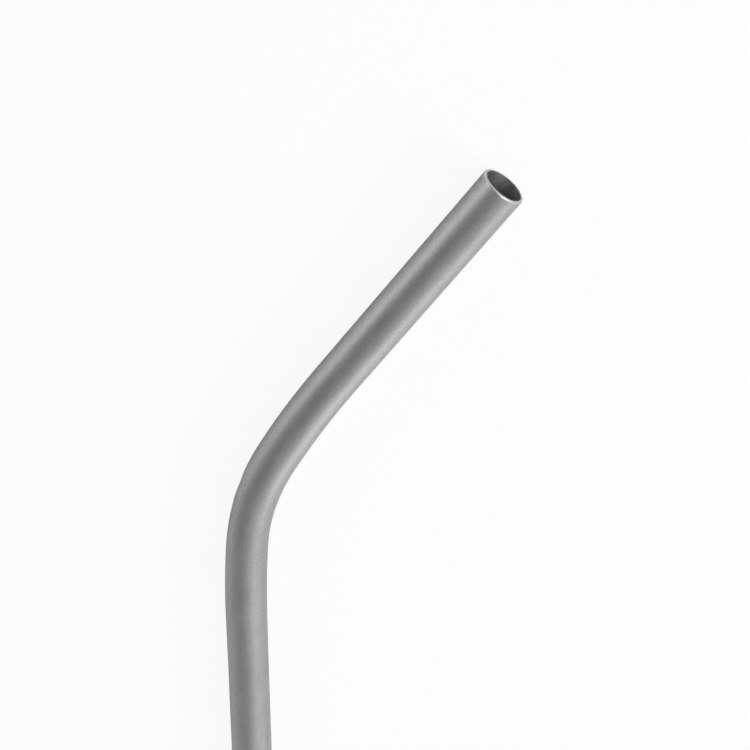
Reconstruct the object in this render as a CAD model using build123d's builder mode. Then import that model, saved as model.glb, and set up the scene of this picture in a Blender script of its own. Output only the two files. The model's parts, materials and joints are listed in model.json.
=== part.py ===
# A titanium drinking straw: one thin tube bent once near its upper end, lying on its side.
import os
from math import cos, degrees, pi, radians, sin

from build123d import *

os.makedirs("parts", exist_ok=True)

# Tube, in millimetres
tube_diameter = 8.0
wall = 0.5
total_length = 215.0
upper_run = 48.4
lip_round = 0.15

# Bend: an easy lead in, a tight middle and an easy lead out
lead_in_radius = 181.0
middle_radius = 47.2
lead_out_radius = 185.0
lead_in_turn = 4.9
middle_turn = 24.9
lead_out_turn = 6.8

# The edge of the bending die leaves one shallow pinch across the outer side of the middle
pinch_place = 13.1
pinch_reach = 2.6
pinch_depth = 0.1
section_count = 9

# The line where each round face closes on itself is turned away from the top and the sides
seam_turn = 20

# Derived sizes
tube_radius = tube_diameter / 2
lead_in = lead_in_radius * radians(lead_in_turn)
middle = middle_radius * radians(middle_turn)
lead_out = lead_out_radius * radians(lead_out_turn)
lower_run = total_length - lead_in - middle - lead_out - upper_run
whole_turn = lead_in_turn + middle_turn + lead_out_turn


def carry_round(across, arc, radius):
    """A plane across the tube, carried on round an arc that bends away from its x side."""
    turn = arc / radius
    outward = across.x_dir * cos(turn) + across.z_dir * sin(turn)
    heading = across.z_dir * cos(turn) - across.x_dir * sin(turn)
    place = across.origin + (outward - across.x_dir) * radius
    return Plane(place, x_dir=outward, z_dir=heading)


def lay_planes(start_x, start_y):
    """The planes across the tube where its form changes, x to the outer side of the bend."""
    lower_mouth = Plane((start_x, start_y, tube_radius), x_dir=(-1, 0, 0), z_dir=(0, 1, 0))
    bend_start = lower_mouth.offset(lower_run)
    middle_start = carry_round(bend_start, lead_in, lead_in_radius)
    pinch_start = carry_round(middle_start, pinch_place - pinch_reach, middle_radius)
    pinch_end = carry_round(middle_start, pinch_place + pinch_reach, middle_radius)
    lead_out_start = carry_round(middle_start, middle, middle_radius)
    bend_end = carry_round(lead_out_start, lead_out, lead_out_radius)
    return lower_mouth, bend_start, middle_start, pinch_start, pinch_end, lead_out_start, bend_end


# The origin is under the middle of the straw's own box, on the surface it lies on.
# The upper mouth is tilted, so its rim reaches past the end of the middle line.
tip = lay_planes(0, 0)[-1].offset(upper_run).origin
width = tip.X + tube_radius + tube_radius * cos(radians(whole_turn))
length = tip.Y + tube_radius * sin(radians(whole_turn))
planes = lay_planes(tube_radius - width / 2, -length / 2)
lower_mouth, bend_start, middle_start, pinch_start, pinch_end, lead_out_start, bend_end = planes


def draw_ring(across):
    """The tube's plain round section."""
    with BuildSketch(across) as ring:
        with Locations(Rotation(0, 0, seam_turn)):
            Circle(tube_radius)
            Circle(tube_radius - wall, mode=Mode.SUBTRACT)
    return ring.sketch


def bend_tube(across, arc, radius):
    """The plain tube round an arc that starts at the given plane."""
    pivot = Axis(across.origin - across.x_dir * radius, (0, 0, -1))
    revolve(draw_ring(across), axis=pivot, revolution_arc=degrees(arc / radius))


def draw_pinch(set_in):
    """The sections through the pinch, set in from the skin by the given depth."""
    drawn = []
    radius = tube_radius - set_in
    for index in range(section_count):
        share = index / (section_count - 1)
        across = carry_round(pinch_start, 2 * pinch_reach * share, middle_radius)
        dip = pinch_depth * (1 - cos(2 * pi * share)) / 2
        with BuildSketch(across) as section:
            with BuildLine():
                EllipticalCenterArc((0, 0), radius - dip, radius, start_angle=-90, arc_size=180)
                CenterArc((0, 0), radius, start_angle=90, arc_size=180)
            make_face()
        drawn.append(section.sketch)
    return drawn


with BuildPart() as straw:
    loft(draw_pinch(0))
    loft(draw_pinch(wall), mode=Mode.SUBTRACT)
    extrude(draw_ring(lower_mouth), amount=lower_run)
    bend_tube(bend_start, lead_in, lead_in_radius)
    bend_tube(middle_start, pinch_place - pinch_reach, middle_radius)
    bend_tube(pinch_end, middle - pinch_place - pinch_reach, middle_radius)
    bend_tube(lead_out_start, lead_out, lead_out_radius)
    extrude(draw_ring(bend_end), amount=upper_run)
    mouths = straw.faces().filter_by(GeomType.PLANE)
    fillet(mouths.edges(), lip_round)

straw.part.label = "straw"
export_step(straw.part, "parts/straw.step")
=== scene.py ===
# %% [markdown]
# # A titanium drinking straw, bent once and lying on its side
#
# The real thing is one thin tube of bare titanium, open at both ends. Everything that the
# eye gets from it comes from three places: a very clean outline, a satin skin that turns
# the lights of the studio into soft bands along the tube, and a thin bright lip round the
# mouth. This lesson builds the outline and the lip first, then the skin, and then lights
# and frames the straw.
#
# The measured model is loaded first. It stays as it is, and everything below is worked
# out in its frame, in metres.

# %% Load the measured straw
import json
from math import cos, hypot, pi, radians, sin

import bpy
from mathutils import Matrix, Vector


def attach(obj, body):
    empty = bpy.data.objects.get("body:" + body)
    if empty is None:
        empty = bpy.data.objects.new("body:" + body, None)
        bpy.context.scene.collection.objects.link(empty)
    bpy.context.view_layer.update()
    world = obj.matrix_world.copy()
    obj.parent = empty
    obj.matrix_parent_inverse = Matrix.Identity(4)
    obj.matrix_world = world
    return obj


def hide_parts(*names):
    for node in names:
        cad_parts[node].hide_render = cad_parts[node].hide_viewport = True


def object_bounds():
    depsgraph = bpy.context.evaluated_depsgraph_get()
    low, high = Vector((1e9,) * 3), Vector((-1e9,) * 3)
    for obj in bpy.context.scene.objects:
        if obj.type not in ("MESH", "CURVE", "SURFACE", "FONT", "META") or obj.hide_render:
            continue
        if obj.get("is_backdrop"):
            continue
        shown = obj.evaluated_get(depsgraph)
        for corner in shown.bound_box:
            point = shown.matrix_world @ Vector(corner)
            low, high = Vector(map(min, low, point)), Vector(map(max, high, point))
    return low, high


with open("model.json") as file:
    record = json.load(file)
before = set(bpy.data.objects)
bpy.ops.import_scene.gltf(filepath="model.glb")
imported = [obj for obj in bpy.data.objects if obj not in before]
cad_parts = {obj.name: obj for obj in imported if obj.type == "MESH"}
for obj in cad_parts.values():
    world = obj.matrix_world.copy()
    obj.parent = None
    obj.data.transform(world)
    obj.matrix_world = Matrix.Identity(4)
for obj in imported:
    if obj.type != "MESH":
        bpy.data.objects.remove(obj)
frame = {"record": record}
measured_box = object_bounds()
mounts = {mount["name"]: mount for mount in frame["record"]["mounts"]}
mm = 0.001


def in_mm(lengths):
    """Lengths in metres as rounded millimetres, for the printed notes."""
    return tuple(round(length / mm, 2) for length in lengths)


print("measured box", [in_mm(corner) for corner in measured_box])

# %% [markdown]
# ## The middle line
#
# A tube is a section carried along a line, so the line comes first. A hand-drawn curve
# would be quick, but a bending tool leaves plain arcs, and the eye is good at seeing an
# arc that is not one. So the line is a straight run, three arcs that touch, and another
# straight run. Only the radii and turns of the three arcs are written here.
#
# The straight runs are read from the mounts of the measured model. Each mount stops short
# of its mouth by the rounding of the solid's lip, so that much is added back.

# %% Sizes of the tube and its bend
lower_mount, upper_mount = mounts["lower_outside"], mounts["upper_outside"]
tube_radius = lower_mount["dims"]["r_mm"] * mm
wall = tube_radius - mounts["lower_bore"]["dims"]["r_mm"] * mm
mount_inset = 0.15 * mm
lower_run = lower_mount["dims"]["length_mm"] * mm + mount_inset
upper_run = upper_mount["dims"]["length_mm"] * mm + mount_inset
arcs = [(181.0 * mm, radians(4.9)), (47.2 * mm, radians(24.9)), (185.0 * mm, radians(6.8))]
bend = sum(radius * turn for radius, turn in arcs)
total_length = lower_run + bend + upper_run
print("lower run, bend, upper run and the whole", in_mm((lower_run, bend, upper_run, total_length)))

# %% [markdown]
# The line is asked for by distance, from the lower mouth on. At each distance it gives a
# point, the direction that the tube heads in, and the direction of the bend's outer side.
# Round an arc, all three turn together about the arc's centre. A curve object could carry
# the line too, but it only comes near to an arc, and a plain function meets it exactly.

# %% The middle line by distance
up = Vector((0, 0, 1))
lower_heading = -Vector(lower_mount["axis"])
lower_mouth = Vector(lower_mount["pos_m"]) - lower_heading * (lower_run + mount_inset) / 2


def middle_line(along):
    """The point on the middle line, its heading and its outward side, at a distance."""
    point, heading = lower_mouth, lower_heading
    outward = up.cross(heading)
    step = min(along, lower_run)
    point = point + heading * step
    left = along - step
    for radius, turn in arcs:
        step = min(left, radius * turn)
        rotation = Matrix.Rotation(-step / radius, 3, up)
        turned = rotation @ outward
        point = point + (turned - outward) * radius
        heading, outward = rotation @ heading, turned
        left -= step
    return point + heading * left, heading, outward


print("upper mouth", in_mm(middle_line(total_length)[0]))

# %% [markdown]
# ## What the bending tool does to the section
#
# A tube never stays quite round when it is bent. Here it pinches a little ahead of the
# bend, swells on its inner side going in, flattens in the tight middle and swells again on
# the way out, all by a hundredth or two of its radius. The edge of the die leaves one
# short, sharper pinch on the outer side. None of this reads as a shape by itself, but
# without it the outline looks drawn with compasses. The marks could be pushed in by hand
# in sculpt mode. A short list of them can be checked one by one against the outline in the
# picture, and put right by changing one number.
#
# Each mark is one smooth bump of a cosine: how far past the start of the bend it sits, how
# far it reaches to either side, and what it adds to the half-width on the outer and on the
# inner side.

# %% Marks of the bending tool
marks = [
    (-13.0 * mm, 9.0 * mm, -0.040 * mm, -0.028 * mm),
    (4.0 * mm, 10.0 * mm, 0.0, 0.052 * mm),
    (21.0 * mm, 9.0 * mm, -0.040 * mm, -0.060 * mm),
    (28.6 * mm, 2.4 * mm, -0.100 * mm, 0.0),
    (41.5 * mm, 18.0 * mm, 0.080 * mm, 0.060 * mm),
]


def half_widths(along):
    """The tube's half-width on the outer and on the inner side, at a distance."""
    outer = inner = tube_radius
    for place, reach, outer_swell, inner_swell in marks:
        away = abs(along - lower_run - place) / reach
        strength = (1 + cos(pi * min(away, 1))) / 2
        outer += outer_swell * strength
        inner += inner_swell * strength
    return outer, inner


for place, *_ in marks:
    print("half-widths", in_mm(half_widths(lower_run + place)), "at", round(place / mm, 1), "mm")

# %% [markdown]
# ## One skin, out and back
#
# The straw could be a curve with a bevel, or a cylinder with a Solidify modifier. Both
# leave the lip to chance. The lip is what catches the light, so the whole wall is laid out
# as one closed profile: along the outside, round the lip, back along the inside, and round
# the other lip. Each point of the profile is a distance along the tube and a depth below
# its skin, and becomes one ring of vertices.
#
# The rings stand close together where the tool has marked the tube. On the straight runs
# nothing changes from one ring to the next, so there they stand further apart.

# %% Where the rings stand
coarse_step, fine_step = 1.6 * mm, 0.45 * mm
marked_start, marked_end = lower_run - 24 * mm, lower_run + bend + 3 * mm


def spread(start, end, step):
    """Evenly spaced distances from start up to, but not at, the end."""
    count = max(1, round((end - start) / step))
    return [start + (end - start) * i / count for i in range(count)]


def run_between(rounding):
    """Distances from one lip's rounding to the other's, closest together along the bend."""
    far_end = total_length - rounding
    before = spread(rounding, marked_start, coarse_step)
    marked = spread(marked_start, marked_end, fine_step)
    after = spread(marked_end, far_end, coarse_step)
    return before + marked + after + [far_end]


print("rings along the bend", len(spread(marked_start, marked_end, fine_step)))

# %% [markdown]
# The lip was cut square and then polished. A polishing wheel wears the outer edge well
# round, and hardly reaches the inner one, which stays nearly sharp. In the light that makes
# one thin ring, soft on its outer side and crisp on its inner side. A Bevel modifier rounds
# every edge alike, so the two edges are drawn here as quarter circles of their own size,
# the inner one turned over.

# %% The lip
outer_round, bore_round = 0.30 * mm, 0.06 * mm
lip_steps = 7


def rounded_edge(rounding):
    """An outer edge between its two ends: how far from the mouth, and how deep, it is."""
    angles = [pi / 2 * (i + 1) / (lip_steps + 1) for i in range(lip_steps)]
    return [(rounding * (1 - sin(angle)), rounding * (1 - cos(angle))) for angle in angles]


outer_edge = rounded_edge(outer_round) + [(0.0, outer_round)]
inner_edge = [(0.0, wall - bore_round)]
inner_edge += [(inset, wall - depth) for inset, depth in reversed(rounded_edge(bore_round))]
lip = outer_edge + inner_edge
print("points round a lip", len(lip))

# %% [markdown]
# Now the profile can go all the way round: out along the skin, round the upper lip, back
# along the bore, and round the lower lip, which is the same lip walked backwards.

# %% The wall's profile
profile = [(along, 0.0) for along in run_between(outer_round)]
profile += [(total_length - inset, depth) for inset, depth in lip]
profile += [(along, wall) for along in reversed(run_between(bore_round))]
profile += reversed(lip)
print("rings in the profile", len(profile))

# %% [markdown]
# Each point of the profile becomes a ring. Every vertex also remembers where it would be
# if the tube were straight. The grain of the metal is drawn in that straight space, so it
# follows the bend and meets itself round the back with no seam. Drawn in the object's own
# space instead, the streaks would run off the tube where it turns.

# %% One ring of the skin
around = 96


def ring(along, depth):
    """A ring's points on the bent tube, and the same points on a straight one."""
    point, heading, outward = middle_line(along)
    outer, inner = half_widths(along)
    rise = tube_radius - depth
    bent, straight = [], []
    for i in range(around):
        angle = 2 * pi * i / around
        side = (outer if cos(angle) > 0 else inner) - depth
        bent.append(point + outward * cos(angle) * side + up * sin(angle) * rise)
        straight.append((along, rise * cos(angle), rise * sin(angle)))
    return bent, straight


print("first point of the first ring", in_mm(ring(outer_round, 0.0)[0][0]))

# %% [markdown]
# ## Rolling the skin out flat
#
# A painter or a game engine needs the skin laid flat in a square. A tube rolls out to one
# long strip, which would leave most of the square empty, and an automatic unwrap would cut
# it into many small pieces. So the way round the profile, out and back, is cut into four
# strips of like length, which lie side by side and fill the square.

# %% Four strips in a square
strip_count = 4
strip_edge = 0.01
travelled = [0.0]
for (along, depth), (next_along, next_depth) in zip(profile, profile[1:] + profile[:1]):
    travelled.append(travelled[-1] + hypot(next_along - along, next_depth - depth))
strip_of = [min(int(strip_count * t / travelled[-1]), strip_count - 1) for t in travelled[:-1]]
strip_starts = [travelled[strip_of.index(strip)] for strip in range(strip_count)]
strip_ends = strip_starts[1:] + travelled[-1:]
strip_length = max(end - start for start, end in zip(strip_starts, strip_ends))


def flat_place(ring_index, at, i):
    """Where a corner of a ring's face lies in the square, with a little edge round each strip."""
    strip = strip_of[ring_index]
    reach = (travelled[at] - strip_starts[strip]) / strip_length
    inset = 1 - 2 * strip_edge
    return strip_edge + inset * reach, (strip + strip_edge + inset * i / around) / strip_count


print("strips end at", in_mm(strip_ends), "of the way round the profile")

# %% [markdown]
# Now the rings can be joined by quads. The last ring joins the first, so the wall is one
# closed skin with no end to cap. A mesh is only data until an object shows it, and the
# floor, the lamps and the camera will need the same step, so it is a helper of its own.

# %% Rings to mesh
def show(name, data):
    """A new object in the scene that shows this mesh, lamp or camera."""
    made = bpy.data.objects.new(name, data)
    bpy.context.scene.collection.objects.link(made)
    return made


def make_skin(name, profile):
    """The whole wall as one object, with its straight places and its flat strips."""
    points, straight, faces, flat = [], [], [], []
    for along, depth in profile:
        bent_ring, straight_ring = ring(along, depth)
        points += bent_ring
        straight += straight_ring
    for r in range(len(profile)):
        here, there = r * around, (r + 1) % len(profile) * around
        for i in range(around):
            j = (i + 1) % around
            faces.append((here + i, here + j, there + j, there + i))
            flat += [flat_place(r, r, i), flat_place(r, r, i + 1)]
            flat += [flat_place(r, r + 1, i + 1), flat_place(r, r + 1, i)]
    mesh = bpy.data.meshes.new(name)
    mesh.from_pydata(points, [], faces)
    place = mesh.attributes.new("straight_place", "FLOAT_VECTOR", "POINT")
    place.data.foreach_set("vector", [x for row in straight for x in row])
    flat_map = mesh.uv_layers.new(name="OFBake")
    flat_map.data.foreach_set("uv", [x for row in flat for x in row])
    mesh.shade_smooth()
    return show(name, mesh)


tube = make_skin("straw_tube", profile)
print("quads", len(tube.data.polygons))

# %% [markdown]
# ## Writing a shader as sums
#
# Node trees are hard to read as code. A small class wraps one socket and lets plain
# arithmetic add the nodes: `1 - mask` or `grain * 0.2` each become a Math node. Any other
# kind of node comes from one method, `Shading.node`, which takes the node's type, its
# settings and the values or links of its sockets.

# %% A socket that does arithmetic
class Value:
    """One number that varies over the surface, as a node socket."""

    def __init__(self, shading, socket):
        self.shading, self.socket = shading, socket

    def math(self, operation, *others):
        inputs = dict(enumerate((self, *others)))
        return self.shading.node("ShaderNodeMath", inputs, operation=operation)

    def __add__(self, other):
        return self.math("ADD", other)

    def __mul__(self, other):
        return self.math("MULTIPLY", other)

    def __sub__(self, other):
        return self.math("SUBTRACT", other)

    def __rsub__(self, other):
        return self.shading.node("ShaderNodeMath", {0: other, 1: self}, operation="SUBTRACT")

    __radd__, __rmul__ = __add__, __mul__

    def step(self, low, high):
        """0 below low, 1 above high, and a soft step between them."""
        inputs = {"Value": self, "From Min": low, "From Max": high}
        return self.shading.node("ShaderNodeMapRange", inputs, interpolation_type="SMOOTHSTEP")


print("a socket now takes + and - and *, and also", Value.math.__name__, "and", Value.step.__name__)

# %% [markdown]
# The second class holds a node tree. A material has one and so does the world, and both
# are built through the same method.

# %% One way to add any node
class Shading:
    """An emptied node tree of a material or the world."""

    def __init__(self, holder):
        holder.use_nodes = True
        self.holder, self.tree = holder, holder.node_tree
        self.tree.nodes.clear()

    def node(self, kind, inputs=None, output=0, **settings):
        made = self.tree.nodes.new(kind)
        for key, setting in settings.items():
            setattr(made, key, setting)
        for key, value in (inputs or {}).items():
            socket = made.inputs[key]
            if isinstance(value, Value):
                self.tree.links.new(value.socket, socket)
            else:
                socket.default_value = value
        return Value(self, made.outputs[output]) if made.outputs else None


print("every node comes from", Shading.node.__qualname__)

# %% [markdown]
# ## Bare titanium
#
# The straw is bead-blasted titanium: a neutral grey metal with no coat. Such a skin is
# rough enough to blur a lamp into a band, and it has three textures. A very fine grain of
# dimples, about a third of a millimetre across, makes the bands look dusty. Slow clouds,
# some millimetres long, make one stretch a shade lighter than the next. Faint streaks
# along the tube are what is left of the drawing die.
#
# A flat grey with one roughness gives a plastic rod. An image of scratches would repeat,
# and would not reach the other views. So all three are noise in the straight space of the
# tube, and the two longer ones are stretched along it.

# %% Grain, clouds and streaks
titanium = Shading(bpy.data.materials.new("titanium_satin"))
straight = titanium.node("ShaderNodeAttribute", attribute_name="straight_place", output="Vector")
fine_share = 0.55


def noise(scale, detail, stretch=(1, 1, 1)):
    """Noise about zero in the tube's straight space, its scale in bumps to the metre."""
    mapped = titanium.node("ShaderNodeMapping", {"Vector": straight, "Scale": stretch})
    inputs = {"Vector": mapped, "Scale": scale, "Detail": detail, "Roughness": fine_share}
    return titanium.node("ShaderNodeTexNoise", inputs) - 0.5


grain = noise(scale=2800, detail=2)
clouds = noise(scale=300, detail=3, stretch=(0.5, 1, 1))
streaks = noise(scale=900, detail=2, stretch=(0.12, 1, 1))
print("nodes for the three textures", len(titanium.tree.nodes))

# %% [markdown]
# The polish of the lip is on its cut face and its outer edge, and not in the bore. So its
# mask needs two things: the distance to the nearer mouth, and how far out in the wall the
# point is. The mask could be painted on the vertices, but it would be only as fine as they
# are. Both distances are already there in the straight space, so they are worked out from
# it, and the mask is sharp at any size.

# %% Where the lip and the bore are
polish_full, polish_end = 0.18 * mm, 0.45 * mm
bore_edge = tube_radius - wall
bore_fade = 0.2 * bore_round
along_tube = titanium.node("ShaderNodeSeparateXYZ", {"Vector": straight})
from_mouth = along_tube.math("MINIMUM", total_length - along_tube)
across = titanium.node("ShaderNodeVectorMath", {0: straight, 1: (0, 1, 1)}, operation="MULTIPLY")
out_in_wall = titanium.node("ShaderNodeVectorMath", {0: across}, operation="LENGTH", output="Value")

at_mouth = 1 - from_mouth.step(polish_full, polish_end)
out_of_bore = out_in_wall.step(bore_edge + bore_fade, bore_edge + bore_round)
# The lip's mask makes it smoother, and also carries its painted sheen into the colour.
lip_polish_and_sheen = at_mouth * out_of_bore
skin = 1 - lip_polish_and_sheen
print("the polish fades out between", in_mm((polish_full, polish_end)), "mm from the mouth")

# %% [markdown]
# The bore is painted a little darker than the skin: that is painted shade inside the tube,
# on a bore that was never blasted clean. The polished lip is painted lighter than both, as
# painted sheen on its edge. Three materials on three sets of faces would change along the
# edges of the faces. One material with masks changes softly, as worked metal does. The
# three textures shade the skin and the bore, and fade where the polish is.

# %% The greys of the metal
# The lip's lighter grey is painted sheen on the polished edge.
titanium_grey, bore_shaded_grey, lip_sheen_grey = 0.50, 0.42, 0.66
grain_shade, cloud_shade, streak_shade = 0.52, 0.22, 0.08
# The bore is painted darker here: painted shade inside the tube.
grey_with_bore_shade = bore_shaded_grey + (titanium_grey - bore_shaded_grey) * out_of_bore
texture = 1 + grain * grain_shade + clouds * cloud_shade + streaks * streak_shade
shade = grey_with_bore_shade * texture * skin + lip_sheen_grey * lip_polish_and_sheen
colour = titanium.node("ShaderNodeCombineColor", {"Red": shade, "Green": shade, "Blue": shade})
print("nodes with the greys", len(titanium.tree.nodes))

# %% [markdown]
# The same textures unsettle the gloss, as the blasting made both at once. So the grain and
# the clouds also go into the roughness, and the grain is a shallow bump too. Real dents in
# the mesh would need millions of faces for the same look. The streaks only show as a shade.
# The polished lip is smoother and has no bump.

# %% The gloss of the metal
skin_roughness, lip_roughness = 0.53, 0.44
uneven_gloss = 0.06
uneven = (clouds + grain) * uneven_gloss
roughness = (skin_roughness + uneven) * skin + lip_roughness * lip_polish_and_sheen

dimple_depth, dimple_strength = 0.02 * mm, 0.3
dimples = titanium.node(
    "ShaderNodeBump",
    {"Height": grain * skin, "Strength": dimple_strength, "Distance": dimple_depth},
)
print("nodes with the gloss", len(titanium.tree.nodes))

# %% [markdown]
# The greys, the gloss and the dimples meet in one shader, which is metal all over. The tube
# then takes the material and is attached to its body, and the measured straw that it
# replaces is hidden.

# %% The finished tube
metal = titanium.node(
    "ShaderNodeBsdfPrincipled",
    {"Base Color": colour, "Metallic": 1.0, "Roughness": roughness, "Normal": dimples},
)
titanium.node("ShaderNodeOutputMaterial", {"Surface": metal})
tube.data.materials.append(titanium.holder)
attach(tube, "root")
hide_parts("straw")
print("nodes in the titanium", len(titanium.tree.nodes))

# %% [markdown]
# ## A white floor that keeps the shadow
#
# The picture is cut out on white. Lighting a floor until it is white would also flood the
# straw. So the floor is a plain pale surface to the lamps, and rays from the camera see it
# mixed with an even white glow. What is left of the plain surface in that mix still
# carries the straw's soft shadow. The metal mirrors the same floor with only a trace of the
# glow, because the shade beside the tube is what draws the darker line along its left edge.

# %% Floor finish
floor_grey = 0.64
camera_share, mirror_share = 0.92, 0.02
white = (1, 1, 1, 1)


def white_mix(shading, plain):
    """The plain shader to the lamps, and partly even white to the camera and reflections."""
    camera_ray = shading.node("ShaderNodeLightPath", output="Is Camera Ray")
    glossy_ray = shading.node("ShaderNodeLightPath", output="Is Glossy Ray")
    passing_ray = shading.node("ShaderNodeLightPath", output="Is Transmission Ray")
    mirrored = glossy_ray.math("MAXIMUM", passing_ray)
    share = (camera_ray * camera_share).math("MAXIMUM", mirrored * mirror_share)
    glow = shading.node("ShaderNodeEmission", {"Color": white, "Strength": 1.0})
    return shading.node("ShaderNodeMixShader", {0: share, 1: plain, 2: glow})


floor_finish = Shading(bpy.data.materials.new("floor_white"))
pale = floor_finish.node("ShaderNodeBsdfDiffuse", {"Color": (floor_grey, floor_grey, floor_grey, 1)})
floor_finish.node("ShaderNodeOutputMaterial", {"Surface": white_mix(floor_finish, pale)})
print("nodes in the floor", len(floor_finish.tree.nodes))

# %% [markdown]
# The floor itself is one flat square at the height that the straw lies on. It could be a
# backdrop that curves up behind the straw, but the room is white too, so a plain square is
# enough. It is part of the stage and not of the straw.

# %% Floor
floor_reach = 3.0
floor_mesh = bpy.data.meshes.new("floor")
corners = [(-1, -1), (1, -1), (1, 1), (-1, 1)]
floor_mesh.from_pydata([(x * floor_reach, y * floor_reach, 0) for x, y in corners], [], [range(4)])
floor_mesh.materials.append(floor_finish.holder)
floor = show("floor", floor_mesh)
floor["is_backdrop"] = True
print("floor", 2 * floor_reach, "m across")

# %% [markdown]
# ## The studio
#
# A satin tube shows the room as bands. This room has pale walls, up to about a quarter of
# the way to the zenith, and a dim ceiling. The camera looks down on the straw, so the middle
# of the tube mirrors the ceiling, and that is its dark band. A picture of a real room would
# do the same with more guesswork, and a plain grey world would leave no bands at all. To the
# camera the room is white, like the floor.

# %% Room
horizon_glow, overhead_glow = 0.62, 0.18
horizon_top, ceiling_edge = 0.31, 0.42
room_white = 0.97
room = Shading(bpy.data.worlds.new("studio"))
bpy.context.scene.world = room.holder
direction = room.node("ShaderNodeTexCoord", output="Generated")
height = room.node("ShaderNodeSeparateXYZ", {"Vector": direction}, output="Z")
glow = horizon_glow + (overhead_glow - horizon_glow) * height.step(horizon_top, ceiling_edge)
seen = room.node("ShaderNodeLightPath", output="Is Camera Ray")
strength = seen * room_white + (1 - seen) * glow
backdrop = room.node("ShaderNodeBackground", {"Color": white, "Strength": strength})
room.node("ShaderNodeOutputWorld", {"Surface": backdrop})
print("nodes in the room", len(room.tree.nodes))

# %% [markdown]
# Soft lamps do the rest. The key stands on the right, well above the floor. A long, low
# lamp beyond the straw's foot draws the light band on the right of the tube. A small one on
# the left draws the light line beside the dark band of the upper run.
#
# The floor wants more light than the metal: a brighter key would burn a white stripe into
# the straw from other sides. So a fourth lamp, lower on the right, is left out of the
# metal's reflections. It only lights the floor, and throws the straw's shade to the left.
#
# A lamp is placed by its direction from the bend, as a photographer would walk round the
# table with it, and it is given the brightness of its face. So it can be made wider without
# getting dimmer.

# %% Lamps
lamp_distance = 1.0
bend_middle = middle_line(lower_run + bend / 2)[0]


def soft_lamp(name, azimuth, elevation, width, height, brightness):
    """A wide soft lamp, turned to the bend, from a direction in degrees."""
    azimuth, elevation = radians(azimuth), radians(elevation)
    away = Vector((cos(azimuth) * cos(elevation), sin(azimuth) * cos(elevation), sin(elevation)))
    light = bpy.data.lights.new(name, "AREA")
    light.shape = "RECTANGLE"
    light.size, light.size_y = width, height
    light.energy = brightness * pi * width * height
    lamp = show(name, light)
    lamp.location = bend_middle + away * lamp_distance
    lamp.rotation_euler = (-away).to_track_quat("-Z", "Y").to_euler()
    return lamp


key = soft_lamp("lamp_key", azimuth=10, elevation=40, width=0.54, height=0.75, brightness=5.0)
foot = soft_lamp("lamp_foot", azimuth=-89, elevation=8, width=1.44, height=0.50, brightness=2.0)
left = soft_lamp("lamp_left", azimuth=157, elevation=24, width=0.36, height=0.30, brightness=3.95)
low = soft_lamp("lamp_floor", azimuth=-22, elevation=22, width=0.30, height=0.25, brightness=44.0)
low.visible_glossy = False
print("lamps in watts", {lamp.name: round(lamp.data.energy, 1) for lamp in (key, foot, left, low)})

# %% [markdown]
# ## The camera
#
# In the picture the straw stands upright and leans away, but it lies on the floor here, so
# the camera looks down on it and is rolled until the lower run points down the frame. The
# lens and the place come from fitting the outline of the tube and the oval of its mouth.

# %% Where the camera looks from
aim = Vector((2.254 * mm, 61.690 * mm, tube_radius))
azimuth, elevation, roll = radians(154.20), radians(60.17), radians(-150.93)
distance = 318.04 * mm
back = Vector((sin(azimuth) * cos(elevation), -cos(azimuth) * cos(elevation), sin(elevation)))
level_right = up.cross(back).normalized()
level_up = back.cross(level_right)
right = level_right * cos(roll) + level_up * sin(roll)
above = level_up * cos(roll) - level_right * sin(roll)
facing = Matrix((right, above, back)).transposed().to_4x4()
print("the camera stands at", in_mm(aim + back * distance))

# %% [markdown]
# The fit gave the lens as a focal length in pixels, so it is turned into millimetres of
# lens by the width of the picture and of the sensor. The colours are shown plainly, with no
# film curve, so that a grey renders as it is written.

# %% Camera
focal_pixels, picture_pixels, sensor = 1800.0, 750.0, 36.0
camera_data = bpy.data.cameras.new("camera")
camera_data.sensor_width = sensor
camera_data.lens = focal_pixels / picture_pixels * sensor
camera_data.clip_start, camera_data.clip_end = 0.01, 20.0
camera = show("camera", camera_data)
camera.matrix_world = Matrix.Translation(aim + back * distance) @ facing
bpy.context.scene.camera = camera
bpy.context.scene.view_settings.view_transform = "Standard"
print("lens", round(camera_data.lens, 1), "mm")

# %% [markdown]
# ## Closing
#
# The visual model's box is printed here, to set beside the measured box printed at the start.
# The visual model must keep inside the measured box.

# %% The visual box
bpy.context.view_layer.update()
print("visual box", [in_mm(corner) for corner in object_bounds()])
